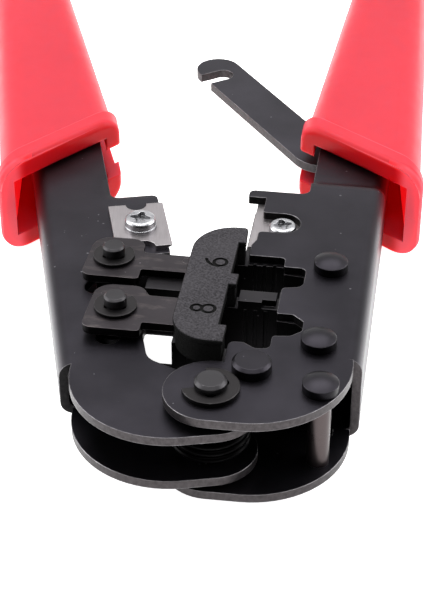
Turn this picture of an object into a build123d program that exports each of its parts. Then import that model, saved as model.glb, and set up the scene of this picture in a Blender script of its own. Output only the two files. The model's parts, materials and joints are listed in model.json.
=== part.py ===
from build123d import *
import math
import os

# Modular plug crimper. Millimetres, +Z up, +Y toward the handles, +X to the right.
# The origin is on the main pivot's axis, on the flat end of the pivot pin that the tool lies on.
# Each frame is drawn with its own axis along +Y and its web on the +X side, then placed.

# Frames
SPREAD = 8.5  # lean of each frame's axis at rest, degrees
SWING = 2 * SPREAD  # closing angle of the left frame
SHEET = 1.6
OUTER_HEIGHT = 16.4
NEST_GAP = 1.3  # between the plates of the two frames
WEB_OUT = 23.6  # pivot axis to the web's outer face
BEND_OUT = 2.6
BEND_IN = 1.0
BOSS_R = 7.8
NOSE_R = 16.7
NOSE_X = 5.5
NOSE_Y = 9.0
OUTER_WEB_FRONT = 11.5
INNER_WEB_FRONT = 14.2
JOG_START = 66.0
JOG_END = 71.0
HANDLE_IN = 9.5  # pivot axis to the channel's open edge
HANDLE_TAPER_Y = 95.0
HANDLE_END_IN = 14.2
HANDLE_END = 160.0
OUTER_EDGE = 1.7  # pivot axis to the outer frame's open edge beside the cutter
TAB_BACK = 62.0  # rear edge of the outer frame's cutter tab
TAB_REACH = 1.7  # how far that tab crosses the axis
TAB_DEPTH = 2.4
INNER_TAB_BACK = 65.3
INNER_TAB_FRONT = 45.0
TAB_GAP = 0.7  # inner frame's tab edge to the closed centre line
FIT = 0.08  # running clearance on a radius
SEAT = 0.05  # clearance where a fixed piece sits in its hole

# Main pivot
PIVOT_R = 2.7
PIVOT_HEAD_R = 4.6
PIVOT_HEAD = 1.8
PIVOT_PROUD = 2.4
CLIP_T = 0.9
PIVOT_CLIP_R = 4.75
PIVOT_CLIP_TURN = 145  # where a clip's mouth points
CLIP_BITE = 0.6
THRUST_R = 4.9
SLEEVE_WALL = 1.4

# Opening spring
COIL_R = 6.0
WIRE_R = 0.6
COIL_GAP = 0.1
COIL_PITCH = 2 * WIRE_R + COIL_GAP
SPRING_ENDS = 3.4  # height kept for the wire, the climb of both legs and clearance
SPRING_TIP_RIGHT = (19.6, 5.44)  # each leg's end, in the axes of the arm that it bears on
SPRING_TIP_LEFT = (21.0, 17.0)

# Fasteners of the outer frame
RIVET_R = 1.6
RIVET_HEAD_R = 3.0
RIVET_HEAD = 2.5
RIVET_RIM = 1.6  # upright part of a domed head
RIVET_TAIL = 0.6
BLOCK_RIVETS = [(15.95, 14.7), (15.85, 37.6)]
NOSE_RIVET = (17.45, 2.6)
SPACER_R = 1.9
EAR_RIVET = (5.85, 6.2)
EAR_HEAD_R = 3.3
EAR_HEAD = 2.2
EAR_R = 3.2
EAR_T = 1.0

# Plug bays: centre along the frame, plug width, back wall, latch groove depth and width
PLUG_SIDE = 0.1
BAYS = {
    "8p": dict(y=19.9, plug=11.7, back=8.0, latch_x=12.8, latch_w=5.6, ways=8),
    "6p": dict(y=34.1, plug=9.65, back=7.6, latch_x=11.6, latch_w=5.8, ways=6),
}
BLOCK_LEFT = -8.3
BLOCK_RIGHT = WEB_OUT - SHEET - 3.0
BLOCK_FRONT = 9.6
BLOCK_BACK = 43.9
BLOCK_STEP_X = 0.9  # where the block rises to fill the space between the plates
BLOCK_CORNER_X = -1.5
BLOCK_CORNER_Y = 15.9
BLOCK_CLEAR = 0.4  # block to the inner frame's edge once the tool is closed
ISLAND_DROP = 0.3
RIB_GROOVES = [1.9, 3.6, 5.4]
GROOVE_W = 0.6
GROOVE_D = 0.4

# Cover
COVER_LEFT = -8.7
COVER_RIGHT = 0.6
COVER_NOTCH_X = -0.75
COVER_FRONT = 9.15
COVER_BACK = 44.0
COVER_T = 3.1
COVER_LIP = 0.8
COVER_STEP = 0.3
LOWER_COVER_T = 1.4
LANE_CLEAR = 0.25
DIGIT_DEPTH = 0.25
DIGIT_LINE = 0.62
DIGIT_RINGS = (1.12, 0.88)
DIGIT_OFFSET = 1.9  # each digit stands this far before the middle of its bay

# Crimp links and punches: pin place, stroke, link body and tongues, and the punch's length at the
# top and at the bottom, all in the outer frame's axes
LINK_GAP = 1.2  # inner frame's plate to the link
LINK_T = 1.5
PUNCH_PIN_R = 1.95
PUNCH_PIN_PROUD = 1.9
PUNCH_CLIP_T = 0.7
PUNCH_CLIP_R = 3.7
PUNCH_CLIP_TURN = 95
CAM_CLEAR = 0.15
PUNCH_CLEAR = 0.12
WASHER_R = 3.3
RUN = 0.1  # end clearance of a washer, sleeve or clip
LINK_CLEAR = 0.2  # link to the covers above and below it
INNER_CLEAR = 0.3  # what moves between the inner frame's plates
LINK_RIVET_R = 0.8
LINK_RIVET_DEPTH = 3.5
CRIMP_END = -0.2  # where the comb's plate ends its stroke
PUNCHES = {
    "8p": dict(
        pin=(-19.6, 20.75), stroke=5.0, body_x=(-24.5, -14.4), body_y=(14.4, 27.5),
        tongue_y=(17.0, 25.0), low_tongue_y=(17.0, 25.0), head=2.9, low_head=2.9,
    ),
    "6p": dict(
        pin=(-22.85, 36.0), stroke=7.8, body_x=(-27.7, -17.4), body_y=(29.8, 42.3),
        tongue_y=(32.9, 38.1), low_tongue_y=(35.2, 38.1), head=7.4, low_head=2.2,
    ),
}
COMB_PLATE = 0.7
TOOTH_REACH = 1.0
TOOTH_PITCH = 1.02
TOOTH_T = 0.45
TOOTH_H = 3.6
RELIEF_BAR_W = 5.4

# Cutter
BLADE_T = 0.9
BLADE_EDGE = 0.12  # blade's edge to the closed centre line
BLADE_NOTCH_R = 2.0
LEFT_BLADE = (10.3, 46.3, 61.0)  # width, front, back
RIGHT_BLADE = (10.0, 45.0, 60.2)
LEFT_SCREW = (5.2, 53.3)
RIGHT_SCREW = (5.75, 51.2)
SCREW_R = 1.5
SCREW_HEAD_R = 2.85
SCREW_HEAD = 1.5
SCREW_FLANGE_R = 3.0
SCREW_FLANGE = 0.5
SMALL_HEAD_R = 2.5
SMALL_HEAD = 1.4
HEAD_ROUND = 0.6
RECESS_DEPTH = 0.9
RECESS_REACH = 0.66  # a cross recess's arm, as a share of the head's radius
RECESS_ARM = 0.34  # half width of an arm at its tip
RECESS_CORE = 0.74
NOTCH_R = 3.3
CARRIER_IN = 0.8
CARRIER_WIDTH = 9.4
WIRE_LIP_OUT = 0.3
WIRE_LIP_DROP = 0.7

# Handle strap
STRAP_PIVOT = (12.8, 89.0)
STRAP_ANGLE = 37.0  # from the outer frame's axis toward the left, at rest
STRAP_LENGTH = 45.6
STRAP_WIDTH = 9.5
STRAP_OFFSET = 2.7  # pivot to the strap's centre line
STRAP_LOBE_R = 3.9
STRAP_HEEL_R = 7.0
STRAP_T = 1.8
STRAP_PIN_R = 1.8
STRAP_HEAD_R = 2.7
STRAP_HEAD = 0.7
STRAP_NOTCH_R = 2.2

# Grips
MOUTH_BACK = {"right": 3.0, "left": 5.5}  # how far each grip's mouth sits behind the line below
GRIP_FRONT_OUT = (WEB_OUT + 6.6, JOG_START - 0.7)
GRIP_FRONT_IN = (HANDLE_IN - 3.6, JOG_START + 17.4)
GRIP_TAIL = 25.0  # grip beyond the frame's end
GRIP_END = HANDLE_END + GRIP_TAIL
GRIP_END_OUT = WEB_OUT + 2.8
GRIP_END_IN = HANDLE_END_IN - 2.4
GRIP_WALL = 2.4
GRIP_ROUND = 5.0
GRIP_END_ROUND = 5.5
RIM_WIDTH = 5.0
RIM_PROUD = 0.6
RIM_ROLL = 1.5  # rounding of the rim's front edge
MOUTH_HEAD = 0.8  # mouth above and below the handle's channel
GRIP_COVERAGE = 1.8  # grip beyond the frame's height, on each side
FLARE_DEPTH = 108.0
GRIP_SLOT = 7.0
SLOT_END = STRAP_PIVOT[1] + STRAP_LENGTH + STRAP_WIDTH / 2 + 3.5
POCKET_CLEAR = 0.2

# Heights that follow
MID_Z = PIVOT_HEAD + OUTER_HEIGHT / 2
OUTER_TOP = MID_Z + OUTER_HEIGHT / 2
INNER_HEIGHT = OUTER_HEIGHT - 2 * (SHEET + NEST_GAP)
INNER_TOP = MID_Z + INNER_HEIGHT / 2
OUTER_ROOM = OUTER_HEIGHT - 2 * SHEET
INNER_ROOM = INNER_HEIGHT - 2 * SHEET
COIL_TURNS = int((INNER_ROOM - SPRING_ENDS) / COIL_PITCH)
LINK_BOTTOM = INNER_TOP + LINK_GAP
LINK_TOP = LINK_BOTTOM + LINK_T
BLOCK_LOW_TOP = LINK_BOTTOM - LINK_CLEAR
COVER_SEAT = LINK_TOP + LINK_CLEAR
BELOW, ABOVE = -1.0, 40.0  # past the tool's faces, for cuts that go right through
FAR = 400.0


def face_of(points):
    """A closed face through (x, y, corner radius) points."""
    path = FilletPolyline(
        [(x, y) for x, y, _ in points], radius=[r for _, _, r in points], close=True
    )
    return make_face(path.edges())


def box(x0, x1, y0, y1, z0, z1):
    return Pos((x0 + x1) / 2, (y0 + y1) / 2, (z0 + z1) / 2) * Box(x1 - x0, y1 - y0, z1 - z0)


def rect(x0, x1, y0, y1):
    return Pos((x0 + x1) / 2, (y0 + y1) / 2) * Rectangle(x1 - x0, y1 - y0)


def slab(face, z0, z1):
    return Pos(0, 0, z0) * extrude(face, amount=z1 - z0, dir=(0, 0, 1))


def rod(at, radius, z0, z1):
    return Pos(at[0], at[1], (z0 + z1) / 2) * Cylinder(radius, z1 - z0)


def tube(at, outer, inner, z0, z1):
    return rod(at, outer, z0, z1) - rod(at, inner, z0 - 1, z1 + 1)


def hole(at, radius, bottom=BELOW):
    return rod(at, radius, bottom, ABOVE)


def flip(shape):
    """The same piece on the other side of the mid plane."""
    return mirror(shape, about=Plane.XY.offset(MID_Z))


def right(shape):
    return Rot(0, 0, -SPREAD) * shape


def left(shape):
    return Rot(0, 0, SPREAD) * mirror(shape, about=Plane.YZ)


def in_inner_axes(x, y, closed):
    """A point of the outer frame, seen from the inner frame drawn web to +X, once it has closed so far."""
    turn = math.radians(SWING - closed)
    seen_x = x * math.cos(turn) + y * math.sin(turn)
    seen_y = y * math.cos(turn) - x * math.sin(turn)
    return -seen_x, seen_y


# Frames


def channel_section(y, height):
    low, high = MID_Z - height / 2, MID_Z + height / 2
    across = face_of(
        [
            (-5, low, 0),
            (WEB_OUT, low, BEND_OUT),
            (WEB_OUT, high, BEND_OUT),
            (-5, high, 0),
            (-5, high - SHEET, 0),
            (WEB_OUT - SHEET, high - SHEET, BEND_IN),
            (WEB_OUT - SHEET, low + SHEET, BEND_IN),
            (-5, low + SHEET, 0),
        ]
    )
    return Plane((0, y, 0), x_dir=(1, 0, 0), z_dir=(0, -1, 0)) * across


def channel(y0, y1, height):
    return extrude(channel_section(y0, height), amount=y1 - y0, dir=(0, 1, 0))


def jogged_channel(y0, height, end_height):
    """A channel that steps down to the handle's height."""
    if height == end_height:
        return channel(y0, HANDLE_END, height)
    step = loft(
        [channel_section(JOG_START, height), channel_section(JOG_END, end_height)], ruled=True
    )
    return channel(y0, JOG_START, height) + step + channel(JOG_END, HANDLE_END, end_height)


def frame_plan(inner_edge, web_front):
    """Plan of a frame: the boss, the round nose and everything outside the inner edge."""
    boss = Circle(BOSS_R)
    round_nose = Pos(NOSE_X, NOSE_Y) * Circle(NOSE_R)
    nose = make_hull(boss.edges() + round_nose.edges())
    body = face_of(
        [
            (40, 0, 0),
            (40, HANDLE_END, 0),
            (HANDLE_END_IN, HANDLE_END, 0),
            (HANDLE_IN, HANDLE_TAPER_Y, 0),
        ]
        + inner_edge
    )
    front = nose & rect(0, 50, -50, 0)
    side = nose & body & rect(-50, 50, -1, web_front)
    back = body & rect(-50, 50, web_front, FAR)
    return boss, front, side, back


def frame(inner_edge, web_front, height):
    low, high = MID_Z - height / 2, MID_Z + height / 2
    raw = box(-12, WEB_OUT, -20, web_front, low, low + SHEET)
    raw += box(-12, WEB_OUT, -20, web_front, high - SHEET, high)
    raw += channel(web_front, web_front + 1, height)
    raw += jogged_channel(web_front + 1, height, INNER_HEIGHT)
    plan = None
    for region in frame_plan(inner_edge, web_front):
        prism = slab(region, low - 1, high + 1)
        plan = prism if plan is None else plan + prism
    return (raw & plan) - rod((0, 0), PIVOT_R + FIT, low - 1, high + 1)


def bay_span(bay):
    half = bay["plug"] / 2 + PLUG_SIDE
    return bay["y"] - half, bay["y"] + half


def outer_inner_edge():
    """The outer frame's open edge, from the handle down to the boss."""
    eight, six = BAYS["8p"], BAYS["6p"]
    edge = OUTER_EDGE
    screw_x, screw_y = RIGHT_SCREW
    step = 0.8
    return [
        (HANDLE_IN, TAB_BACK, 1.6),
        (-TAB_REACH, TAB_BACK, 1.2),
        (-TAB_REACH, TAB_BACK - TAB_DEPTH, 0.3),
        (edge, TAB_BACK - TAB_DEPTH, 0),
        (edge, screw_y + NOTCH_R, 0.6),
        (screw_x + NOTCH_R, screw_y + NOTCH_R, NOTCH_R - 0.05),
        (screw_x + NOTCH_R, screw_y - NOTCH_R, NOTCH_R - 0.05),
        (edge, screw_y - NOTCH_R, 0.8),
        (edge, 45.0, 0.5),
        (1.0, 43.2, 0),
        (1.0, bay_span(six)[1] + step, 0.3),
        (six["back"], bay_span(six)[1] + step, 0.9),
        (six["back"], six["y"] + six["latch_w"] / 2, 0.3),
        (six["latch_x"], six["y"] + six["latch_w"] / 2, 1.2),
        (six["latch_x"], six["y"] - six["latch_w"] / 2, 1.6),
        (eight["back"], six["y"] - six["latch_w"] / 2 - 0.8, 0.9),
        (eight["back"], eight["y"] + eight["latch_w"] / 2, 0.3),
        (eight["latch_x"] - 2, eight["y"] + eight["latch_w"] / 2, 0.9),
        (eight["latch_x"], eight["y"] + eight["latch_w"] / 2 - 1.8, 0.8),
        (eight["latch_x"], eight["y"] - eight["latch_w"] / 2 + 1, 0.8),
        (eight["latch_x"] - 1.8, eight["y"] - eight["latch_w"] / 2 - 0.6, 1.4),
        (eight["back"], eight["y"] - eight["latch_w"] / 2 - 1, 0.7),
        (eight["back"], bay_span(eight)[0] - 1.4, 1.0),
        (eight["back"] - 2.4, bay_span(eight)[0] - 1.8, 1.5),
        (eight["back"] - 4.6, bay_span(eight)[0] - 0.3, 1.6),
        (1.0, bay_span(eight)[0] - 0.4, 1.2),
        (1.0, 0, 0),
    ]


def inner_inner_edge():
    """The inner frame's open edge, from the handle down to the boss."""
    clear = -BLOCK_LEFT + BLOCK_CLEAR
    return [
        (HANDLE_IN, INNER_TAB_BACK, 1.6),
        (TAB_GAP, INNER_TAB_BACK, 1.2),
        (TAB_GAP, INNER_TAB_FRONT, 0.5),
        (clear, INNER_TAB_FRONT, 1.5),
        (clear, BLOCK_CORNER_Y - 2.1, 3.5),
        (-BLOCK_CORNER_X + 0.4, BLOCK_FRONT - 1.6, 0.5),
        (-BLOCK_CORNER_X + 0.4, 0, 0),
    ]


def right_frame():
    shell = frame(outer_inner_edge(), OUTER_WEB_FRONT, OUTER_HEIGHT)
    for at in BLOCK_RIVETS + [NOSE_RIVET]:
        shell -= hole(at, RIVET_R + SEAT)
    shell -= hole(EAR_RIVET, RIVET_R + SEAT, MID_Z)
    shell -= hole(STRAP_PIVOT, STRAP_PIN_R + SEAT)
    return right(shell)


def cam_slot(punch):
    """The slot that drives a punch's pin: its centre line follows the pin as the frame closes."""
    x0, y0 = punch["pin"]
    steps = 8
    points = []
    for i in range(steps + 1):
        share = i / steps
        points.append(in_inner_axes(x0 + punch["stroke"] * share, y0, SWING * share))
    half = PUNCH_PIN_R + CAM_CLEAR
    slot = trace(Spline(points), line_width=2 * half)
    for end in (points[0], points[-1]):
        slot += Pos(*end) * Circle(half)
    return slab(slot, BELOW, ABOVE)


def left_frame():
    shell = frame(inner_inner_edge(), INNER_WEB_FRONT, INNER_HEIGHT)
    for punch in PUNCHES.values():
        shell -= cam_slot(punch)
    shell -= hole(LEFT_SCREW, SCREW_R + SEAT, MID_Z)
    return left(shell)


# Pivot


def snap_clip(at, radius, groove_r, z0, thickness, opening):
    """A snap clip: a ring with an open mouth and two relief pockets."""
    inner = groove_r + SEAT
    ring = Circle(radius) - Circle(inner)
    wide = radius + 1
    ring -= face_of([(0, 0, 0), (wide, -wide, 0), (wide, wide, 0)])
    for side in (-1, 1):
        ring -= Rot(0, 0, side * 125) * Pos(inner, 0) * Circle(inner * 0.45)
    return Pos(at[0], at[1], 0) * Rot(0, 0, opening) * slab(ring, z0, z0 + thickness)


def pivot_pin():
    top = OUTER_TOP + PIVOT_PROUD
    pin = rod((0, 0), PIVOT_R, PIVOT_HEAD - 0.5, top)
    pin = chamfer(pin.edges().sort_by(Axis.Z)[-1], 0.5)
    head = rod((0, 0), PIVOT_HEAD_R, 0, PIVOT_HEAD)
    head = chamfer(head.edges().sort_by(Axis.Z)[0], 0.4)
    groove = tube((0, 0), PIVOT_R + 1, PIVOT_R - CLIP_BITE, OUTER_TOP, OUTER_TOP + CLIP_T + RUN)
    return pin + head - groove


def pivot_clip():
    z0 = OUTER_TOP + RUN / 2
    return snap_clip((0, 0), PIVOT_CLIP_R, PIVOT_R - CLIP_BITE, z0, CLIP_T, PIVOT_CLIP_TURN)


def thrust_washers():
    upper = tube((0, 0), THRUST_R, PIVOT_R + FIT, INNER_TOP + RUN, OUTER_TOP - SHEET - RUN)
    return [upper, flip(upper)]


def pivot_sleeve():
    half = INNER_ROOM / 2 - RUN
    outer = PIVOT_R + FIT + SLEEVE_WALL
    return tube((0, 0), outer, PIVOT_R + FIT, MID_Z - half, MID_Z + half)


def tangent_angle(x, y, side):
    """Angle on the coil where a straight leg to (x, y) leaves it."""
    return math.atan2(y, x) + side * math.acos(COIL_R / math.hypot(x, y))


def opening_spring():
    """Helical coils round the pivot; one leg bears on the nose spacer and one on the left web."""
    right_tip = rotated(SPRING_TIP_RIGHT, -SPREAD)
    left_tip = rotated((-SPRING_TIP_LEFT[0], SPRING_TIP_LEFT[1]), SPREAD)
    start = tangent_angle(*right_tip, 1)
    stop = tangent_angle(*left_tip, -1)
    turn = (stop - start) % (2 * math.pi) + 2 * math.pi * (COIL_TURNS - 1)
    height = COIL_PITCH * turn / (2 * math.pi)
    base = MID_Z - height / 2
    helix = Pos(0, 0, base) * Rot(0, 0, math.degrees(start)) * Helix(COIL_PITCH, height, COIL_R)
    right_leg = Vector(*right_tip) - Vector((helix @ 0).X, (helix @ 0).Y)
    left_leg = Vector(*left_tip) - Vector((helix @ 1).X, (helix @ 1).Y)
    first = Line(helix @ 0 - (helix % 0) * right_leg.length, helix @ 0)
    last = Line(helix @ 1, helix @ 1 + (helix % 1) * left_leg.length)
    path = Wire([first.edge(), helix.edge(), last.edge()])
    return sweep(Plane(first @ 0, z_dir=first % 0) * Circle(WIRE_R), path=path)


def rotated(point, degrees):
    turn = math.radians(degrees)
    x, y = point
    return x * math.cos(turn) - y * math.sin(turn), x * math.sin(turn) + y * math.cos(turn)


# Rivets


def domed_head(at, radius, z0, height, rim):
    """A head with an upright rim and a spherical cap."""
    rise = height - rim
    dome_r = (radius**2 + rise**2) / (2 * rise)
    return rod(at, radius, z0, z0 + height) & Pos(at[0], at[1], z0 + height - dome_r) * Sphere(dome_r)


def frame_rivet(at):
    """A rivet through both plates of the outer frame."""
    low = OUTER_TOP - OUTER_HEIGHT
    tail = rod(at, RIVET_HEAD_R, low - RIVET_TAIL, low)
    tail = chamfer(tail.edges().sort_by(Axis.Z)[0], 0.4)
    shank = rod(at, RIVET_R, low - 0.5, OUTER_TOP + 0.5)
    return tail + shank + domed_head(at, RIVET_HEAD_R, OUTER_TOP, RIVET_HEAD, RIVET_RIM)


def block_rivets():
    return [right(frame_rivet(at)) for at in BLOCK_RIVETS]


def nose_rivet():
    return right(frame_rivet(NOSE_RIVET))


def nose_spacer():
    half = OUTER_ROOM / 2
    return right(tube(NOSE_RIVET, SPACER_R, RIVET_R + SEAT, MID_Z - half, MID_Z + half))


def ear_rivet():
    head = rod(EAR_RIVET, EAR_HEAD_R, OUTER_TOP, OUTER_TOP + EAR_HEAD)
    head = chamfer(head.edges().sort_by(Axis.Z)[-1], 0.5)
    return right(head + rod(EAR_RIVET, RIVET_R, OUTER_TOP - SHEET - EAR_T, OUTER_TOP + 0.5))


# Die block and covers


def bay_plan(bay):
    """Plan of a plug bay, open to the left for its punch, with the latch groove behind."""
    front, back = bay_span(bay)
    bay_face = rect(BLOCK_LEFT - 5, bay["back"], front, back)
    half = bay["latch_w"] / 2
    groove = face_of(
        [
            (bay["back"] - 1, bay["y"] - half, 0),
            (bay["latch_x"], bay["y"] - half + 0.6, 0.8),
            (bay["latch_x"], bay["y"] + half - 0.6, 0.8),
            (bay["back"] - 1, bay["y"] + half, 0),
        ]
    )
    return bay_face, groove


def die_block():
    half = OUTER_ROOM / 2
    low_half = BLOCK_LOW_TOP - MID_Z
    wide = box(BLOCK_STEP_X, BLOCK_RIGHT, BLOCK_FRONT, BLOCK_BACK, MID_Z - half, MID_Z + half)
    narrow = slab(
        face_of(
            [
                (BLOCK_STEP_X + 0.5, BLOCK_FRONT, 0),
                (BLOCK_STEP_X + 0.5, BLOCK_BACK, 0),
                (BLOCK_LEFT, BLOCK_BACK, 3.0),
                (BLOCK_LEFT, BLOCK_CORNER_Y, 0.5),
                (BLOCK_CORNER_X, BLOCK_FRONT, 0.5),
            ]
        ),
        MID_Z - low_half,
        MID_Z + low_half,
    )
    ear = rod(EAR_RIVET, EAR_R, MID_Z + half - EAR_T, MID_Z + half)
    ear += box(
        EAR_RIVET[0] - EAR_R, EAR_RIVET[0] + EAR_R, EAR_RIVET[1], BLOCK_FRONT + 0.5,
        MID_Z + half - EAR_T, MID_Z + half,
    )
    block = wide + narrow + ear
    for bay in BAYS.values():
        for x in RIB_GROOVES:
            wall = bay_span(bay)[1]
            block -= box(x, x + GROOVE_W, wall - 1, wall + GROOVE_D, BELOW, ABOVE)
    front, back = bay_span(BAYS["8p"])[1], bay_span(BAYS["6p"])[0]
    island_right = BAYS["6p"]["back"] - 0.2
    island = box(
        BLOCK_STEP_X, island_right, front, back, MID_Z + half - 0.5, OUTER_TOP - ISLAND_DROP
    )
    island -= box(
        island_right - 2.4, island_right + 1, front - 1, front + 0.9, MID_Z + half, OUTER_TOP + 1
    )
    block += island
    for bay in BAYS.values():
        for region in bay_plan(bay):
            block -= slab(region, BELOW, ABOVE)
    for at in BLOCK_RIVETS:
        block -= hole(at, RIVET_R + SEAT)
    block -= hole(EAR_RIVET, RIVET_R + SEAT, MID_Z)
    return right(block)


def cover_points(inset):
    """Cover plan with a notch beside each bay."""
    eight, six = bay_span(BAYS["8p"]), bay_span(BAYS["6p"])
    edge, notch = COVER_RIGHT - inset, COVER_NOTCH_X - inset
    return [
        (edge, COVER_FRONT + inset, 0),
        (edge, eight[0] - inset, 0),
        (notch, eight[0] - inset, 0),
        (notch, eight[1] + inset, 0),
        (edge, eight[1] + inset, 0),
        (edge, six[0] - inset, 0),
        (notch, six[0] - inset, 0),
        (notch, six[1] + inset, 0),
        (edge, six[1] + inset, 0),
        (edge - 0.3, COVER_BACK - inset, 0.6),
        (COVER_LEFT + inset, COVER_BACK - inset, 7.4 - inset),
        (COVER_LEFT + inset, COVER_FRONT + inset, 6.6 - inset),
    ]


def cover_ribs(z0, z1):
    """Ribs that seat on the block and leave a lane for each link's tongue."""
    ribs = slab(face_of(cover_points(COVER_STEP)), z0, z1)
    for punch in PUNCHES.values():
        front, back = punch["tongue_y"]
        ribs -= box(-20, 5, front - LANE_CLEAR, back + LANE_CLEAR, z0 - 1, z1)
    for bay in BAYS.values():
        front, back = bay_span(bay)
        ribs -= box(-20, 5, front, back, z0 - 1, z1)
    return ribs


def ring_groove(x, y, radius, top):
    half = DIGIT_LINE / 2
    return tube((x, y), radius + half, radius - half, top - DIGIT_DEPTH, top + 1)


def digit_cuts(top):
    """An 8 and a 6 engraved beside their bays, read along +Y."""
    x = (COVER_LEFT + COVER_NOTCH_X) / 2 + 0.75
    big, small = DIGIT_RINGS
    eight_y, six_y = (BAYS[name]["y"] - DIGIT_OFFSET for name in ("8p", "6p"))
    cuts = ring_groove(x + small, eight_y, big, top)
    cuts += ring_groove(x + small - big - small, eight_y, small, top)
    cuts += ring_groove(x + small, six_y, big, top)
    hook = ring_groove(x + small, six_y + 1.3, 2.6, top)
    hook &= box(x - 4, x + small, six_y - 3, six_y + 0.9, top - 2, top + 2)
    return cuts + hook


def die_cover():
    top = COVER_SEAT + COVER_T
    body = slab(face_of(cover_points(COVER_STEP)), COVER_SEAT, top - COVER_LIP)
    lip = slab(face_of(cover_points(0)), top - COVER_LIP, top)
    lip = chamfer(lip.faces().sort_by(Axis.Z)[-1].outer_wire().edges(), 0.2)
    cover = body + lip + cover_ribs(BLOCK_LOW_TOP, COVER_SEAT)
    return right(cover - digit_cuts(top))


def lower_cover():
    plate = slab(face_of(cover_points(0)), COVER_SEAT, COVER_SEAT + LOWER_COVER_T)
    return right(flip(plate + cover_ribs(BLOCK_LOW_TOP, COVER_SEAT)))


# Punches


def punch_face(name):
    """Front face of a punch at rest, behind its comb's plate."""
    return CRIMP_END - COMB_PLATE - PUNCHES[name]["stroke"]


def punch_body(name):
    punch, bay = PUNCHES[name], BAYS[name]
    front, back = bay_span(bay)
    face = punch_face(name)
    half = LINK_BOTTOM - MID_Z
    waist = INNER_ROOM / 2 - INNER_CLEAR
    y0, y1 = front + PUNCH_CLEAR, back - PUNCH_CLEAR
    body = box(face - punch["head"], face, y0, y1, MID_Z - waist, MID_Z + half)
    body += box(face - punch["low_head"], face, y0, y1, MID_Z - half, MID_Z)
    at = rivet_place(name)
    socket = rod(at, LINK_RIVET_R + SEAT, MID_Z + half - LINK_RIVET_DEPTH - 0.5, ABOVE)
    return right(body - socket - flip(socket))


def rivet_place(name):
    punch = PUNCHES[name]
    return punch_face(name) - punch["low_head"] / 2, sum(punch["low_tongue_y"]) / 2


def comb(name):
    """Insert with one tooth per contact and a bar for the cord's relief."""
    bay = BAYS[name]
    front, back = bay_span(bay)
    x = punch_face(name)
    half = LINK_BOTTOM - MID_Z - 0.8
    low = MID_Z - half
    insert = box(x, x + COMB_PLATE, front + PUNCH_CLEAR, back - PUNCH_CLEAR, low, MID_Z + half)
    tip = x + COMB_PLATE + TOOTH_REACH
    for i in range(bay["ways"]):
        y = bay["y"] + (i - (bay["ways"] - 1) / 2) * TOOTH_PITCH
        insert += box(x, tip, y - TOOTH_T / 2, y + TOOTH_T / 2, low + 1, low + 1 + TOOTH_H)
    bar = box(
        x, tip, bay["y"] - RELIEF_BAR_W / 2, bay["y"] + RELIEF_BAR_W / 2,
        MID_Z + half - 3.2, MID_Z + half - 1.6,
    )
    return right(insert + bar)


def link(name, tongue_y):
    """T-shaped stamping: a wide body on the pin and a tongue to the punch."""
    punch = PUNCHES[name]
    x0, x1 = punch["body_x"]
    y0, y1 = punch["body_y"]
    t0, t1 = tongue_y
    tip = punch_face(name) - 0.2
    plan = face_of(
        [
            (x0, y0, 1.6),
            (x1, y0, 0.8),
            (x1, t0, 0.4),
            (tip, t0, 0.3),
            (tip, t1, 0.3),
            (x1 - 0.6, t1, 1.0),
            (x1 - 0.6, y1, 2.4),
            (x0 + 0.4, y1, 3.4),
        ]
    )
    plate = slab(plan, LINK_BOTTOM, LINK_TOP)
    plate -= hole(punch["pin"], PUNCH_PIN_R + SEAT)
    return plate - hole(rivet_place(name), LINK_RIVET_R + SEAT)


def punch_pin(name):
    at = PUNCHES[name]["pin"]
    top = LINK_TOP + PUNCH_CLIP_T + PUNCH_PIN_PROUD
    bottom = 2 * MID_Z - LINK_TOP - PUNCH_CLIP_T - 0.8
    pin = rod(at, PUNCH_PIN_R, bottom, top)
    pin = chamfer(pin.edges().sort_by(Axis.Z)[-1], 0.35)
    groove = tube(at, PUNCH_PIN_R + 1, PUNCH_PIN_R - 0.5, LINK_TOP, LINK_TOP + PUNCH_CLIP_T)
    return right(pin - groove - flip(groove))


def punch_clips(name):
    at = PUNCHES[name]["pin"]
    z0, thickness = LINK_TOP + RUN / 4, PUNCH_CLIP_T - RUN / 2
    clip = snap_clip(at, PUNCH_CLIP_R, PUNCH_PIN_R - 0.5, z0, thickness, PUNCH_CLIP_TURN)
    return [right(clip), right(flip(clip))]


def punch_washers(name):
    at = PUNCHES[name]["pin"]
    washer = tube(at, WASHER_R, PUNCH_PIN_R + SEAT, INNER_TOP + RUN, LINK_BOTTOM - RUN)
    return [right(washer), right(flip(washer))]


def punch_sleeve(name):
    at = PUNCHES[name]["pin"]
    half = INNER_ROOM / 2 - INNER_CLEAR
    return right(tube(at, WASHER_R, PUNCH_PIN_R + SEAT, MID_Z - half, MID_Z + half))


def link_rivets(name):
    at = rivet_place(name)
    rivet = rod(at, LINK_RIVET_R, LINK_BOTTOM - LINK_RIVET_DEPTH, LINK_TOP)
    return [right(rivet), right(flip(rivet))]


# Cutter


def cross_recess(at, top, head_r):
    """A four-armed recess that widens to its middle, with four shallow ticks between the arms."""
    size = RECESS_REACH * head_r
    star = []
    for i in range(4):
        for x, y in [(size, -RECESS_ARM), (size, RECESS_ARM), (RECESS_CORE, RECESS_CORE)]:
            star.append((*rotated((x, y), 90 * i), 0))
    cut = slab(face_of(star), top - RECESS_DEPTH, top + 1)
    tick = box(-size * 0.8, size * 0.8, -0.1, 0.1, top - 0.2, top + 1)
    cut += Rot(0, 0, 45) * tick
    cut += Rot(0, 0, -45) * tick
    return Pos(at[0], at[1], 0) * Rot(0, 0, 20) * cut


def screw_head(at, radius, z0, height):
    head = rod(at, radius, z0, z0 + height)
    return fillet(head.edges().sort_by(Axis.Z)[-1], HEAD_ROUND)


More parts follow.
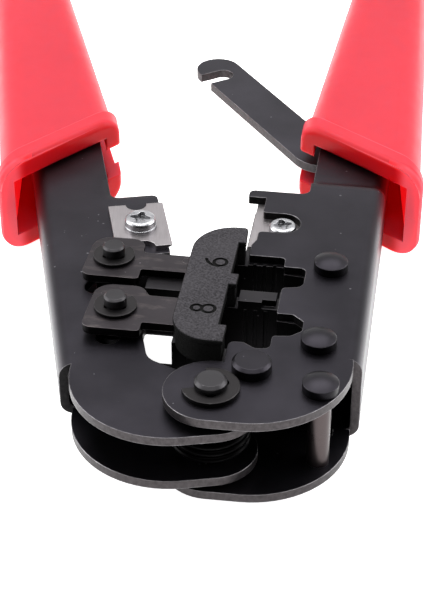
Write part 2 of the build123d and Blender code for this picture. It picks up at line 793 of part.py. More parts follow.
def blade(width, front, back, screw, z0):
    """A flat blade with a half-round notch at each end."""
    plate = box(BLADE_EDGE, BLADE_EDGE + width, front, back, z0, z0 + BLADE_T)
    for y in (front, back):
        plate -= rod((screw[0], y), BLADE_NOTCH_R, z0 - 1, z0 + 2)
    return plate - rod(screw, SCREW_R + SEAT, z0 - 1, z0 + 2)


def bevel(y0, y1, z_edge, z_far):
    """Wedge that sharpens a blade's edge from one face."""
    section = Plane((0, y0, 0), x_dir=(1, 0, 0), z_dir=(0, -1, 0)) * face_of(
        [(BLADE_EDGE - 1, z_edge, 0), (BLADE_EDGE + 1.6, z_far, 0), (BLADE_EDGE - 1, z_far, 0)]
    )
    return extrude(section, amount=y1 - y0, dir=(0, 1, 0))


def left_blade():
    plate = blade(*LEFT_BLADE, LEFT_SCREW, INNER_TOP)
    return left(plate - bevel(40, 70, INNER_TOP + BLADE_T + 0.2, INNER_TOP - 0.01))


def right_blade():
    z0 = OUTER_TOP - SHEET - BLADE_T
    plate = blade(*RIGHT_BLADE, RIGHT_SCREW, z0)
    return right(plate - bevel(40, 70, z0 + BLADE_T + 0.2, z0 - 0.01))


def left_blade_screw():
    z0 = INNER_TOP + BLADE_T
    flange = rod(LEFT_SCREW, SCREW_FLANGE_R, z0, z0 + SCREW_FLANGE)
    head = screw_head(LEFT_SCREW, SCREW_HEAD_R, z0, SCREW_FLANGE + SCREW_HEAD)
    shank = rod(LEFT_SCREW, SCREW_R, MID_Z, z0 + 0.5)
    recess = cross_recess(LEFT_SCREW, z0 + SCREW_FLANGE + SCREW_HEAD, SCREW_HEAD_R)
    return left(flange + head + shank - recess)


def right_blade_screw():
    z0 = OUTER_TOP - SHEET
    head = screw_head(RIGHT_SCREW, SMALL_HEAD_R, z0, SMALL_HEAD)
    shank = rod(RIGHT_SCREW, SCREW_R, MID_Z, z0 + 0.5)
    return right(head + shank - cross_recess(RIGHT_SCREW, z0 + SMALL_HEAD, SMALL_HEAD_R))


def left_blade_carrier():
    half = INNER_ROOM / 2
    block = box(
        CARRIER_IN, CARRIER_IN + CARRIER_WIDTH, INNER_TAB_FRONT + 1, LEFT_BLADE[2],
        MID_Z - half, MID_Z + half,
    )
    return left(block - hole(LEFT_SCREW, SCREW_R + SEAT, MID_Z - 1))


def right_blade_carrier():
    """Carrier under the right blade, with a lip that stops the wire."""
    front, back = RIGHT_BLADE[1] + 0.5, RIGHT_BLADE[2] - 1.5
    top = OUTER_TOP - SHEET - BLADE_T
    bottom = MID_Z - OUTER_ROOM / 2
    block = box(CARRIER_IN, CARRIER_IN + CARRIER_WIDTH, front, back, bottom, top)
    lip_bottom = MID_Z - INNER_ROOM / 2 + 0.5
    block += box(
        -WIRE_LIP_OUT, CARRIER_IN + 0.5, front, back, lip_bottom, top - WIRE_LIP_DROP
    )
    return right(block - hole(RIGHT_SCREW, SCREW_R + SEAT, MID_Z - 1))


# Handle strap


def handle_strap():
    """Flat strap on a lobe beside its centre line; its heel lies across the frame at rest."""
    half, lobe = STRAP_T / 2, STRAP_LOBE_R
    outer, inner = -STRAP_OFFSET - STRAP_WIDTH / 2, STRAP_WIDTH / 2 - STRAP_OFFSET
    lean = math.radians(STRAP_ANGLE)
    heel = [(x, -(lobe + x * math.sin(lean)) / math.cos(lean)) for x in (outer, lobe)]
    flat = face_of(
        [
            (outer, STRAP_LENGTH, 0),
            (*heel[0], STRAP_HEEL_R),
            (*heel[1], lobe - 0.01),
            (lobe, 1.0, 1.0),
            (inner, 6.0, 3.0),
            (inner, STRAP_LENGTH, 0),
        ]
    )
    flat += Pos(-STRAP_OFFSET, STRAP_LENGTH) * Circle(STRAP_WIDTH / 2)
    flat -= Circle(STRAP_PIN_R + FIT)
    notch_x, notch_y = -STRAP_OFFSET - 0.5, STRAP_LENGTH - 3
    flat -= Pos(notch_x, notch_y) * Circle(STRAP_NOTCH_R)
    flat -= rect(outer - 1, notch_x, notch_y - STRAP_NOTCH_R, notch_y + STRAP_NOTCH_R)
    bar = slab(flat, MID_Z - half, MID_Z + half)
    return right(Pos(STRAP_PIVOT[0], STRAP_PIVOT[1], 0) * Rot(0, 0, STRAP_ANGLE) * bar)


def strap_pin():
    half = INNER_HEIGHT / 2
    pin = rod(STRAP_PIVOT, STRAP_PIN_R, MID_Z - half - 0.1, MID_Z + half + 0.1)
    head = rod(STRAP_PIVOT, STRAP_HEAD_R, MID_Z + half, MID_Z + half + STRAP_HEAD)
    return right(pin + head + flip(head))


def strap_spacers():
    upper = tube(
        STRAP_PIVOT, STRAP_HEAD_R + 0.5, STRAP_PIN_R + SEAT,
        MID_Z + STRAP_T / 2 + RUN, MID_Z + INNER_ROOM / 2,
    )
    return [right(upper), right(flip(upper))]


# Grips


def mouth_line(side):
    """The outer and inner ends of a grip's slanted mouth."""
    (ox, oy), (ix, iy) = GRIP_FRONT_OUT, GRIP_FRONT_IN
    back = MOUTH_BACK[side]
    return (ox, oy + back), (ix, iy + back)


def grip_plan(side):
    (ox, oy), (ix, iy) = mouth_line(side)
    return face_of(
        [(ox, oy, 0), (GRIP_END_OUT, GRIP_END, 0), (GRIP_END_IN, GRIP_END, 0), (ix, iy, 0)]
    )


def rim_plan(side):
    """Plan of the proud rim behind the mouth."""
    (ox, oy), (ix, iy) = mouth_line(side)
    lean = (ox - GRIP_END_OUT) / (GRIP_END - oy) * RIM_WIDTH
    return face_of(
        [
            (ox + RIM_PROUD, oy, 0),
            (ox + RIM_PROUD - lean, oy + RIM_WIDTH, 0),
            (ix - RIM_PROUD, iy + RIM_WIDTH, 0),
            (ix - RIM_PROUD, iy, 0),
        ]
    )


def rolled_rim(side, half):
    """The rim, rounded along its sides and round its front face."""
    rim = slab(rim_plan(side), MID_Z - half, MID_Z + half)
    sides = [
        e for e in rim.edges()
        if abs((e @ 0).Z - (e @ 1).Z) < 0.01 and abs((e @ 0).X - (e @ 1).X) < 2
    ]
    rim = fillet(sides, GRIP_ROUND - 0.5)
    (ox, oy), (ix, iy) = mouth_line(side)
    ahead = Vector(oy - iy, ix - ox, 0).normalized()
    front = max(rim.faces(), key=lambda face: face.normal_at().dot(ahead))
    return fillet(front.outer_wire().edges(), RIM_ROLL)


def long_edges(solid, top, bottom):
    """Edges along the grip's sides and far end, on its flat top and bottom."""
    picked = []
    for edge in solid.edges():
        centre = edge.center()
        flat = abs(centre.Z - top) < 0.01 or abs(centre.Z - bottom) < 0.01
        mouth = (edge @ 0).Y < GRIP_END - 20 and (edge @ 1).Y < GRIP_END - 20
        if flat and not mouth:
            picked.append(edge)
    return picked


def grip(side):
    half = OUTER_HEIGHT / 2 + GRIP_COVERAGE
    body_half = half - RIM_PROUD
    body = slab(grip_plan(side), MID_Z - body_half, MID_Z + body_half)
    ends = [e for e in body.edges() if abs((e @ 0).Z - (e @ 1).Z) > 1 and e.center().Y > GRIP_END - 1]
    body = fillet(ends, GRIP_END_ROUND)
    body = fillet(long_edges(body, MID_Z + body_half, MID_Z - body_half), GRIP_ROUND)
    return body + rolled_rim(side, half)


def grip_cavity(side):
    """Flared mouth, the pocket that holds the channel, and the slot that the strap swings in."""
    (ox, oy), (ix, iy) = mouth_line(side)
    clear = POCKET_CLEAR
    mouth_half = INNER_HEIGHT / 2 + MOUTH_HEAD
    flare = face_of(
        [
            (ox - GRIP_WALL, oy - 10, 0),
            (ox - GRIP_WALL - 0.4, oy + 8, 6),
            (WEB_OUT + clear, FLARE_DEPTH, 0),
            (HANDLE_IN, FLARE_DEPTH, 0),
            (ix + GRIP_WALL, iy, 6),
            (ix + GRIP_WALL, oy - 10, 0),
        ]
    )
    mouth = slab(flare, MID_Z - mouth_half, MID_Z + mouth_half)
    pocket = slab(
        face_of(
            [
                (WEB_OUT + clear, oy, 0),
                (WEB_OUT + clear, HANDLE_END + 0.5, 0),
                (HANDLE_END_IN - clear, HANDLE_END + 0.5, 0),
                (HANDLE_IN - clear, HANDLE_TAPER_Y, 0),
                (HANDLE_IN - clear, oy, 0),
            ]
        ),
        MID_Z - INNER_HEIGHT / 2 - clear,
        MID_Z + INNER_HEIGHT / 2 + clear,
    )
    slot = box(0, HANDLE_END_IN, 50, SLOT_END, MID_Z - GRIP_SLOT / 2, MID_Z + GRIP_SLOT / 2)
    return mouth + pocket + slot


def hollow_grip(side):
    return grip(side) - grip_cavity(side)


def write(name, shape):
    """One STEP file per node; a list is a group of separate solids."""
    solids = shape if isinstance(shape, list) else [shape]
    group = Compound(children=[s for part in solids for s in part.solids()])
    found = group.solids()
    export_step(found[0] if len(found) == 1 else group, f"parts/{name}.step")


def main():
    os.makedirs("parts", exist_ok=True)
    nodes = {
        "right_frame": right_frame(),
        "left_frame": left_frame(),
        "right_grip": right(hollow_grip("right")),
        "left_grip": left(hollow_grip("left")),
        "pivot_pin": pivot_pin(),
        "pivot_clip": pivot_clip(),
        "thrust_washers": thrust_washers(),
        "pivot_sleeve": pivot_sleeve(),
        "opening_spring": opening_spring(),
        "block_rivets": block_rivets(),
        "nose_rivet": nose_rivet(),
        "nose_spacer": nose_spacer(),
        "ear_rivet": ear_rivet(),
        "die_block": die_block(),
        "die_cover": die_cover(),
        "lower_cover": lower_cover(),
        "left_blade": left_blade(),
        "right_blade": right_blade(),
        "left_blade_screw": left_blade_screw(),
        "right_blade_screw": right_blade_screw(),
        "left_blade_carrier": left_blade_carrier(),
        "right_blade_carrier": right_blade_carrier(),
        "handle_strap": handle_strap(),
        "strap_pin": strap_pin(),
        "strap_spacers": strap_spacers(),
    }
    for name in PUNCHES:
        nodes[f"punch_{name}"] = punch_body(name)
        nodes[f"comb_{name}"] = comb(name)
        nodes[f"upper_link_{name}"] = right(link(name, PUNCHES[name]["tongue_y"]))
        nodes[f"lower_link_{name}"] = right(flip(link(name, PUNCHES[name]["low_tongue_y"])))
        nodes[f"link_pin_{name}"] = punch_pin(name)
        nodes[f"link_clips_{name}"] = punch_clips(name)
        nodes[f"link_washers_{name}"] = punch_washers(name)
        nodes[f"link_sleeve_{name}"] = punch_sleeve(name)
        nodes[f"link_rivets_{name}"] = link_rivets(name)
    for name, shape in nodes.items():
        write(name, shape)


main()
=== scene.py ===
import json
import math

import bmesh
import bpy
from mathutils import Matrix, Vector


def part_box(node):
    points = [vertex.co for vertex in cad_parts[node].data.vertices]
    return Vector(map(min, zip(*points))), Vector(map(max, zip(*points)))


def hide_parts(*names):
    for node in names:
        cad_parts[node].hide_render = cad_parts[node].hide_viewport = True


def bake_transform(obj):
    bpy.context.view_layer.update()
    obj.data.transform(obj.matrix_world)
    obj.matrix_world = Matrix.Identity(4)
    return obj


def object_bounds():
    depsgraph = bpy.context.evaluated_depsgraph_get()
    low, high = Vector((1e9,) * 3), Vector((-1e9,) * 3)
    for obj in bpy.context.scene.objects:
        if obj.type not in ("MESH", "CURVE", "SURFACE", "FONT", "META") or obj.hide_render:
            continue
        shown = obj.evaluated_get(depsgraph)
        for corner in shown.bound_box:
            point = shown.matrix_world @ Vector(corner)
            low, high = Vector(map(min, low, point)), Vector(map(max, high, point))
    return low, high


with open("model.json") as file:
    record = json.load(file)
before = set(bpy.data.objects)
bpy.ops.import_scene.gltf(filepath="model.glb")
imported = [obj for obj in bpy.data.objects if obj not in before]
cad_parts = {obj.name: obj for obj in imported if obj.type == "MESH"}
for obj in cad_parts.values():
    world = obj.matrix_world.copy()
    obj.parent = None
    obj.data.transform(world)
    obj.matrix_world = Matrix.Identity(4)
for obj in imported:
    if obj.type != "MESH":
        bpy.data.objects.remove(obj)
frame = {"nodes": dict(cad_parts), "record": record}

NODES = frame["nodes"]
RECORD = frame["record"]
CAD_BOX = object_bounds()

# Sizes in metres, in the frame's own axes: +Y toward the handles, +Z up, the pivot on Z.
# An arm's own axes are these turned by its lean.
MM = 0.001
LEAN = math.radians(8.5)  # each arm's axis from +Y at rest
RIGHT_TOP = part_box("right_frame")[1].z
LEFT_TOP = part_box("left_frame")[1].z
LEFT_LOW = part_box("left_frame")[0].z
MID_Z = (LEFT_TOP + LEFT_LOW) / 2
WEB_INNER = 21.5 * MM  # an arm's axis to just inside its web
JOG = (64.0 * MM, 73.0 * MM)  # the stretch of an arm where its channel steps down
NOSE_END = 12.5 * MM  # the open edge is scuffed bare in front of this
RIGHT_WEB_FRONT = 11.4 * MM  # where each frame's web begins
LEFT_WEB_FRONT = 14.1 * MM
FAR = 1.0  # beyond the end of every piece
GRIP_WALL = WEB_INNER + 2.2 * MM  # an arm's axis to its grip's wall, outside the web
RIM = (24.5 * MM, 27.5 * MM)  # from an arm's axis, where a grip's flared rim starts and is full

# Painted glow (emission) on the grips, standing in for light coming through the thin vinyl, and the
# floor's own light
MOUTH_GLOW = 1.0
RIM_GLOW = 0.55
FLOOR_GLOW = 1.0

# The camera, in front of the tool, with its height taken from the right frame's top
TILT = math.radians(35.0)  # how far it looks down
CAMERA_AT = (0.000225, -0.22188, 0.173)
LENS = 105.0  # its focal length in millimetres
SENSOR = 36.0  # its sensor's width in millimetres


# Materials


class Shader:
    """A material's node tree. A method that makes a value adds its nodes and gives their output."""

    def __init__(self, name):
        self.material = bpy.data.materials.new(name)
        self.material.use_nodes = True
        self.tree = self.material.node_tree
        self.tree.nodes.clear()
        output = self.tree.nodes.new("ShaderNodeOutputMaterial")
        self.surface = self.tree.nodes.new("ShaderNodeBsdfPrincipled")
        self.tree.links.new(self.surface.outputs[0], output.inputs["Surface"])
        coordinates = self.tree.nodes.new("ShaderNodeTexCoord")
        self.place = coordinates.outputs["Object"]
        self.normal = coordinates.outputs["Normal"]

    def put(self, socket, value):
        if isinstance(value, bpy.types.NodeSocket):
            self.tree.links.new(value, socket)
        elif value is not None:
            socket.default_value = value

    def add(self, kind, inputs, output=0, **settings):
        node = self.tree.nodes.new("ShaderNode" + kind)
        for key, value in settings.items():
            setattr(node, key, value)
        for key, value in inputs.items():
            self.put(node.inputs[key], value)
        return node.outputs[output]

    def set(self, **inputs):
        for key, value in inputs.items():
            self.put(self.surface.inputs[key.replace("_", " ")], value)

    def now(self, name):
        """What already feeds one of the surface's sockets."""
        return self.surface.inputs[name].links[0].from_socket

    def math(self, operation, a, b=0.0):
        return self.add("Math", {0: a, 1: b}, operation=operation)

    def times(self, *factors):
        product = factors[0]
        for factor in factors[1:]:
            product = self.math("MULTIPLY", product, factor)
        return product

    def plus(self, a, b):
        return self.math("ADD", a, b)

    def minus(self, a, b):
        return self.math("SUBTRACT", a, b)

    def above(self, value, limit):
        """1 where the value is over the limit, 0 elsewhere."""
        return self.math("GREATER_THAN", value, limit)

    def below(self, value, limit):
        """1 where the value is under the limit, 0 elsewhere."""
        return self.math("LESS_THAN", value, limit)

    def absolute(self, value):
        return self.math("ABSOLUTE", value)

    def upright(self):
        """1 where the surface stands upright, 0 where it lies level."""
        return self.smooth_span(self.absolute(self.split(self.normal, "Z")), 0.6, 0.35)

    def split(self, vector, axis):
        return self.add("SeparateXYZ", {0: vector}, output=axis)

    def dot(self, a, b):
        return self.add("VectorMath", {0: a, 1: b}, output=1, operation="DOT_PRODUCT")

    def turned(self, vector, turn):
        """A vector turned about +Z, such as into an arm's own axes."""
        return self.add("VectorRotate", {"Vector": vector, "Angle": turn}, rotation_type="Z_AXIS")

    def scaled(self, factors, turn=0.0):
        """The place turned about +Z, then scaled along each axis."""
        inputs = {0: self.turned(self.place, turn), 1: factors}
        return self.add("VectorMath", inputs, operation="MULTIPLY")

    def noise(self, scale, detail=3.0, rough=0.55, vector=None):
        """Noise whose features are about 1/scale metres across."""
        inputs = {"Vector": vector or self.place, "Scale": scale, "Detail": detail, "Roughness": rough}
        return self.add("TexNoise", inputs)

    def cells(self, scale, **settings):
        """The distance to the nearest of many points scattered about 1/scale metres apart."""
        inputs = {"Vector": self.place, "Scale": scale, "Randomness": 1.0}
        return self.add("TexVoronoi", inputs, output="Distance", **settings)

    def span(self, value, low, high, to_low=0.0, to_high=1.0):
        """The value's stretch from low to high, carried to another stretch and held at its ends."""
        inputs = {0: value, 1: low, 2: high, 3: to_low, 4: to_high}
        return self.add("MapRange", inputs, clamp=True)

    def smooth_span(self, value, low, high):
        return self.add("MapRange", {0: value, 1: low, 2: high}, interpolation_type="SMOOTHSTEP")

    def mix(self, share, a, b):
        node = self.tree.nodes.new("ShaderNodeMix")
        node.data_type = "RGBA"
        self.put(node.inputs[0], share)
        self.put(node.inputs[6], a if isinstance(a, bpy.types.NodeSocket) else (*a, 1.0))
        self.put(node.inputs[7], b if isinstance(b, bpy.types.NodeSocket) else (*b, 1.0))
        return node.outputs[2]

    def rounded(self, radius):
        """The surface's normal with its edges rounded."""
        return self.add("Bevel", {"Radius": radius}, samples=8)

    def edges(self, radius, low=0.04, high=0.35):
        """1 along sharp edges, 0 elsewhere."""
        true_normal = self.tree.nodes.new("ShaderNodeNewGeometry").outputs["Normal"]
        along = self.dot(self.rounded(radius), true_normal)
        return self.span(self.minus(1.0, along), low, high)

    def bump(self, height, strength, distance, under=None):
        inputs = {"Height": height, "Strength": strength, "Distance": distance, "Normal": under}
        return self.add("Bump", inputs)

    def specks(self, scale, amount):
        """Small round dust specks over a share of the surface."""
        dots = self.below(self.cells(scale), 0.16)
        chosen = self.above(self.noise(0.37 * scale, 1.0), 1.0 - amount)
        return self.times(dots, chosen)


def scale_tone(tone, factor):
    return tuple(factor * c for c in tone)


def dark_steel(name, tone, worn, rough, flank=0.3, edge=0.2 * MM):
    """Blackened steel: cloudy satin sheen, fine grain, thin worn edges and a little dust.

    The upright faces are painted darker, as shade: they keep only the given share of the level faces'
    tone.
    """
    s = Shader(name)
    cloud = s.noise(70.0, 4.0, 0.6)
    fine = s.noise(2400.0, 2.0)
    wear = s.times(s.edges(edge), s.span(s.noise(700.0, 3.0), 0.38, 0.72, 0.15, 1.0))
    upright = s.upright()
    sheen = s.mix(s.span(cloud, 0.35, 0.68), scale_tone(tone, 0.86), scale_tone(tone, 1.16))
    # Upright faces are painted darker here: painted shade.
    sheen = s.mix(upright, sheen, scale_tone(tone, flank))
    dust_and_side_shade = s.mix(s.specks(900.0, 0.34), sheen, scale_tone(tone, 3.2))
    s.set(Base_Color=s.mix(wear, dust_and_side_shade, worn), Metallic=1.0)
    cloudy = s.plus(cloud, s.times(fine, 0.5))
    s.set(Roughness=s.span(cloudy, 0.3, 1.2, rough - 0.05, rough + 0.08))
    s.set(Normal=s.bump(fine, 0.35, 0.010 * MM, s.rounded(edge)))
    return s


def shade(level, lift):
    """A faintly violet charcoal."""
    return (lift * level, 0.93 * lift * level, 1.13 * lift * level)


def sheared(s, local, facing, web_front):
    """1 on the sheared edges of a pressed frame, 0 on its sheet surfaces."""
    upright = s.below(s.absolute(s.split(facing, "Z")), 0.3)
    side = s.above(s.absolute(s.split(facing, "X")), 0.9)
    at_web = s.above(s.absolute(s.split(local, "X")), WEB_INNER)
    behind = s.above(s.split(local, "Y"), web_front)
    web = s.times(side, at_web, behind)
    return s.times(upright, s.minus(1.0, web))


def pressed_steel(name, turn, web_front, nose_end=NOSE_END, lift=1.0):
    """A frame's satin charcoal sheet, torn edges where it was sheared, bare round the nose."""
    s = Shader(name)
    local = s.turned(s.place, turn)
    facing = s.turned(s.normal, turn)
    along = s.split(local, "Y")
    past_start = s.smooth_span(along, JOG[0], JOG[0] + MM)
    at_jog = s.times(past_start, s.smooth_span(along, JOG[1], JOG[1] - MM))
    bend = s.span(at_jog, 0.0, 1.0, 0.22 * MM, 2.2 * MM)
    cloud = s.noise(60.0, 4.0, 0.6)
    fine = s.noise(2300.0, 2.0)
    sheet = s.mix(s.span(cloud, 0.35, 0.68), shade(0.026, lift), shade(0.039, lift))
    sheet = s.mix(s.specks(800.0, 0.32), sheet, (0.15, 0.145, 0.16))
    tear = s.noise(1500.0, 4.0, 0.65, s.scaled((1.0, 1.0, 0.8)))
    bare = s.mix(s.span(tear, 0.3, 0.7), (0.030, 0.027, 0.028), (0.062, 0.056, 0.058))
    black = s.mix(s.span(tear, 0.3, 0.7), (0.008, 0.0076, 0.008), (0.018, 0.0175, 0.018))
    cut = sheared(s, local, facing, web_front)
    scuffed = s.smooth_span(along, nose_end + MM, nose_end - MM)
    patchy = s.span(s.noise(600.0, 3.0), 0.34, 0.68, 0.35, 1.0)
    wear = s.times(s.edges(0.28 * MM, 0.02, 0.16), patchy)
    tone = s.mix(cut, sheet, s.mix(scuffed, black, bare))
    s.set(Base_Color=s.mix(wear, tone, (0.27, 0.26, 0.27)), Metallic=1.0)
    satin = s.span(s.plus(cloud, fine), 0.7, 1.4, 0.33, 0.43)
    s.set(Roughness=s.plus(satin, s.times(cut, 0.04)))
    smooth = s.bump(fine, 0.3, 0.010 * MM, s.rounded(bend))
    s.set(Normal=s.bump(s.times(tear, cut), 0.6, 0.05 * MM, smooth))
    return s


def link_steel():
    """Phosphated stampings, warm grey on top where the cover has rubbed them; the sides are painted
    near-black, as shade.
    """
    s = dark_steel("link_steel", (0.044, 0.039, 0.043), (0.24, 0.22, 0.22), 0.36, flank=0.16)
    rub = s.noise(200.0, 4.0, 0.65, s.scaled((1.0, 3.0, 1.0), LEAN))
    rubbed = s.times(s.span(rub, 0.54, 0.7), s.above(s.split(s.normal, "Z"), 0.8))
    tone = s.mix(s.times(rubbed, 0.4), s.now("Base Color"), (0.15, 0.128, 0.125))
    s.set(Base_Color=tone)
    return s


def ground_steel(name, base, rough=0.36, streak=(1.0, 0.05, 1.0)):
    """Bare steel with grinding lines, faint stains and bright rounded edges."""
    s = Shader(name)
    lines = s.noise(5200.0, 3.0, 0.6, s.scaled(streak))
    stain = s.noise(140.0, 4.0, 0.6)
    tone = s.mix(s.span(lines, 0.3, 0.7), scale_tone(base, 0.88), base)
    tone = s.mix(s.span(stain, 0.52, 0.8, 0.0, 0.25), tone, scale_tone(base, 0.7))
    tone = s.mix(s.edges(0.15 * MM), tone, (0.8, 0.78, 0.78))
    s.set(Base_Color=tone, Metallic=1.0)
    s.set(Roughness=s.span(s.plus(lines, stain), 0.6, 1.4, rough - 0.06, rough + 0.1))
    s.set(Normal=s.bump(lines, 0.3, 0.008 * MM, s.rounded(0.12 * MM)))
    return s


def zinc():
    s = Shader("zinc")
    level = s.above(s.split(s.normal, "Z"), 0.3)
    tumble = s.noise(900.0, 3.0, 0.55)
    haze = s.noise(420.0, 2.0)
    tone = s.mix(s.span(haze, 0.35, 0.7), (0.40, 0.40, 0.42), (0.58, 0.58, 0.60))
    # Faces not turned upward are painted darker: painted shade in the head's sides and recess.
    s.set(Base_Color=s.mix(level, (0.26, 0.26, 0.27), tone), Metallic=1.0)
    s.set(Roughness=s.span(tumble, 0.3, 0.7, 0.2, 0.34))
    s.set(Normal=s.bump(tumble, 0.25, 0.012 * MM, s.rounded(0.18 * MM)))
    return s


def moulded_black():
    """Black moulding with a fine stippled grain; below its top, the engraved digits' fill and the
    walls are near-black, the walls and upright faces as painted shade.
    """
    s = Shader("moulded_black")
    grain = s.cells(2800.0, feature="SMOOTH_F1")
    pores = s.noise(3600.0, 3.0, 0.7)
    cloud = s.noise(120.0, 3.0)
    height = s.plus(grain, pores)
    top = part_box("die_cover")[1].z
    # Everything below the top face is painted near-black: the fill of the engraved digits, and painted
    # shade on the cover's walls.
    below = s.below(s.split(s.place, "Z"), top - 0.1 * MM)
    tone = s.mix(s.span(height, 0.55, 1.15), (0.007, 0.0066, 0.0073), (0.046, 0.043, 0.048))
    tone = s.mix(s.span(cloud, 0.35, 0.7, 0.0, 0.4), tone, (0.050, 0.047, 0.052))
    # Upright faces are painted near-black: painted shade.
    tone = s.mix(s.upright(), tone, (0.002, 0.002, 0.002))
    tone = s.mix(s.times(s.edges(0.2 * MM), 0.35), tone, (0.14, 0.135, 0.14))
    s.set(Base_Color=s.mix(below, tone, (0.004, 0.004, 0.004)))
    s.set(Roughness=s.span(pores, 0.3, 0.7, 0.5, 0.68), Specular_IOR_Level=0.06)
    s.set(Normal=s.bump(height, 0.9, 0.07 * MM, s.rounded(0.2 * MM)))
    return s


def red_vinyl(name, turn):
    """Smooth moulded red vinyl with a faint orange peel, cloudy depth and a moulding line.

    The inside of the flared mouth carries a painted red glow (emission) for light through the vinyl,
    and the rim's front a painted pink glow; faces turned to the front are painted darker, as shade.
    """
    s = Shader(name)
    local = s.turned(s.place, turn)
    facing = s.turned(s.normal, turn)
    outward = s.times(s.split(local, "X"), s.split(facing, "X"))
    inward = s.smooth_span(outward, -0.2 * WEB_INNER, -0.5 * WEB_INNER)
    beside = s.above(s.absolute(s.split(local, "X")), GRIP_WALL)
    across = s.smooth_span(s.absolute(s.split(facing, "Y")), 0.75, 0.55)
    margin = s.smooth_span(s.absolute(s.split(local, "X")), *RIM)
    rim = s.times(margin, s.smooth_span(s.split(facing, "Y"), -0.1, -0.5))
    frontal = s.smooth_span(s.split(facing, "Y"), -0.25, -0.85)
    peel = s.noise(260.0, 3.0, 0.5)
    cloud = s.noise(38.0, 3.0)
    tone = s.mix(s.span(cloud, 0.3, 0.7), (0.43, 0.022, 0.038), (0.48, 0.028, 0.046))
    height = s.absolute(s.minus(s.split(s.place, "Z"), MID_Z))
    flank = s.below(s.absolute(s.split(s.normal, "Z")), 0.3)
    parting = s.times(flank, s.smooth_span(height, 0.16 * MM, 0.04 * MM))
    # Faces turned to the front are painted darker and deeper red: painted shade.
    tone = s.mix(frontal, tone, (0.42, 0.002, 0.005))
    s.set(Base_Color=s.mix(s.times(parting, 0.5), tone, (0.36, 0.004, 0.010)))
    # Painted glow (emission): red inside the mouth, standing in for light through the vinyl, and pink
    # on the rim's front.
    glow = s.plus(s.times(inward, beside, across, MOUTH_GLOW), s.times(rim, RIM_GLOW))
    s.set(Emission_Color=s.mix(rim, (0.75, 0.004, 0.006), (0.75, 0.13, 0.17)))
    s.set(Emission_Strength=glow, Specular_IOR_Level=0.14)
    s.set(Roughness=s.span(s.plus(peel, cloud), 0.6, 1.4, 0.34, 0.46))
    s.set(Subsurface_Weight=0.8, Subsurface_Scale=5.0 * MM, Subsurface_Radius=(1.0, 0.06, 0.05))
    relief = s.minus(s.times(peel, 0.1), parting)
    s.set(Normal=s.bump(relief, 0.35, 0.08 * MM, s.rounded(0.5 * MM)))
    return s


def floor_white():
    """A plain white sheet, lit from within like a light table."""
    s = Shader("floor_white")
    s.set(Base_Color=s.mix(s.noise(3.0, 2.0), (0.80, 0.80, 0.80), (0.84, 0.84, 0.84)))
    s.set(Roughness=0.9, Emission_Color=(1.0, 1.0, 1.0, 1.0), Emission_Strength=FLOOR_GLOW)
    return s


# Each row: tone, worn-edge colour, roughness, and for die_steel the share of the tone that upright
# faces keep, painted darker as shade.
DARK_STEELS = {
    "die_steel": ((0.034, 0.032, 0.035), (0.10, 0.096, 0.10), 0.36, 0.2),
    "pin_steel": ((0.052, 0.050, 0.053), (0.18, 0.17, 0.18), 0.42),
    "rivet_steel": ((0.029, 0.027, 0.032), (0.15, 0.145, 0.15), 0.38),
    "spring_steel": ((0.0015, 0.0014, 0.0015), (0.012, 0.012, 0.012), 0.3),
}


def paint(piece, shader):
    piece.data.materials.clear()
    piece.data.materials.append(shader.material)


def paint_all():
    made = {slot: dark_steel(slot, *looks) for slot, looks in DARK_STEELS.items()}
    made["link_steel"] = link_steel()
    made["bright_steel"] = ground_steel("bright_steel", (0.065, 0.053, 0.053), 0.3, (1.0, 1.0, 8.0))
    made["blade_steel"] = ground_steel("blade_steel", (0.36, 0.335, 0.345))
    made["zinc"] = zinc()
    made["black_moulding"] = moulded_black()
    clips = dark_steel("clip_steel", (0.030, 0.028, 0.029), (0.15, 0.145, 0.15), 0.4)
    own = {
        "pivot_clip": clips,
        "link_clips_8p": clips,
        "link_clips_6p": clips,
        "right_frame": pressed_steel("right_frame_steel", LEAN, RIGHT_WEB_FRONT),
        "left_frame": pressed_steel("left_frame_steel", -LEAN, LEFT_WEB_FRONT),
        "right_grip": red_vinyl("right_vinyl", LEAN),
        "left_grip": red_vinyl("left_vinyl", -LEAN),
        "handle_strap": pressed_steel("strap_steel", 0.0, -FAR, FAR, 1.5),
    }
    for row in RECORD["subparts"]:
        paint(NODES[row["node"]], own.get(row["node"]) or made[row["material_slot"]])


# A piece shown as a copy of its solid


def winding_spring():
    """The opening spring's wire: a copy of the spring's solid with its placement baked in, shown in
    place of the solid.
    """
    solid = NODES["opening_spring"]
    wire = bpy.data.objects.new("opening_spring_wire", solid.data.copy())
    bpy.context.scene.collection.objects.link(wire)
    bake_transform(wire)
    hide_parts(solid.name)


# Stage


def floor():
    mesh = bmesh.new()
    bmesh.ops.create_grid(mesh, x_segments=1, y_segments=1, size=3.0)
    data = bpy.data.meshes.new("floor")
    mesh.to_mesh(data)
    mesh.free()
    plane = bpy.data.objects.new("floor", data)
    bpy.context.scene.collection.objects.link(plane)
    plane.location.z = CAD_BOX[0].z
    paint(plane, floor_white())


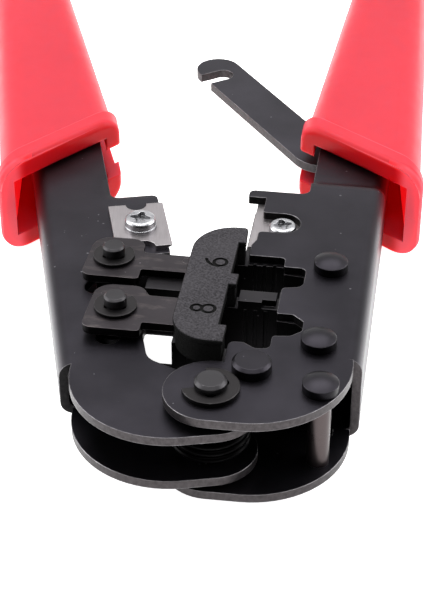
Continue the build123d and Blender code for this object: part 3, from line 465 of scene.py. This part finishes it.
def softbox(name, location, aim, size, power):
    lamp = bpy.data.lights.new(name, "AREA")
    lamp.shape = "RECTANGLE"
    lamp.size, lamp.size_y = size
    lamp.energy = power
    holder = bpy.data.objects.new(name, lamp)
    bpy.context.scene.collection.objects.link(holder)
    holder.location = location
    direction = Vector(aim) - Vector(location)
    holder.rotation_euler = direction.to_track_quat("-Z", "Y").to_euler()


def sky():
    """Soft white all round, dimmer in front of the tool."""
    world = bpy.data.worlds.new("studio")
    bpy.context.scene.world = world
    world.use_nodes = True
    tree = world.node_tree
    background = tree.nodes["Background"]
    toward = tree.nodes.new("ShaderNodeTexCoord").outputs["Generated"]
    split = tree.nodes.new("ShaderNodeSeparateXYZ")
    tree.links.new(toward, split.inputs[0])
    fade = tree.nodes.new("ShaderNodeMapRange")
    fade.interpolation_type = "SMOOTHSTEP"
    tree.links.new(split.outputs["Y"], fade.inputs["Value"])
    for key, value in {"From Min": -0.7, "From Max": 0.2, "To Min": 0.12, "To Max": 0.85}.items():
        fade.inputs[key].default_value = value
    tree.links.new(fade.outputs["Result"], background.inputs["Strength"])
    background.inputs["Color"].default_value = (1.0, 1.0, 1.0, 1.0)


def lights():
    sky()
    middle = (0.0, 0.06, 0.0)
    softbox("overhead", (0.0, 0.3, 0.9), middle, (1.1, 0.8), 9.0)
    softbox("front_strip", (0.0, -0.48, 0.9), middle, (1.2, 0.25), 4.0)
    softbox("left_side", (-0.8, 0.1, 0.3), middle, (0.7, 0.6), 6.0)
    softbox("right_side", (0.8, 0.1, 0.3), middle, (0.7, 0.6), 6.0)


def camera():
    lens = bpy.data.cameras.new("camera")
    lens.lens = LENS
    lens.sensor_width = SENSOR
    lens.clip_start = 0.01
    holder = bpy.data.objects.new("camera", lens)
    bpy.context.scene.collection.objects.link(holder)
    x, y, height = CAMERA_AT
    holder.location = (x, y, RIGHT_TOP + height)
    holder.rotation_euler = (math.radians(90.0) - TILT, 0.0, 0.0)
    bpy.context.scene.camera = holder


paint_all()
winding_spring()
floor()
lights()
camera()
bpy.context.scene.view_settings.view_transform = "Standard"
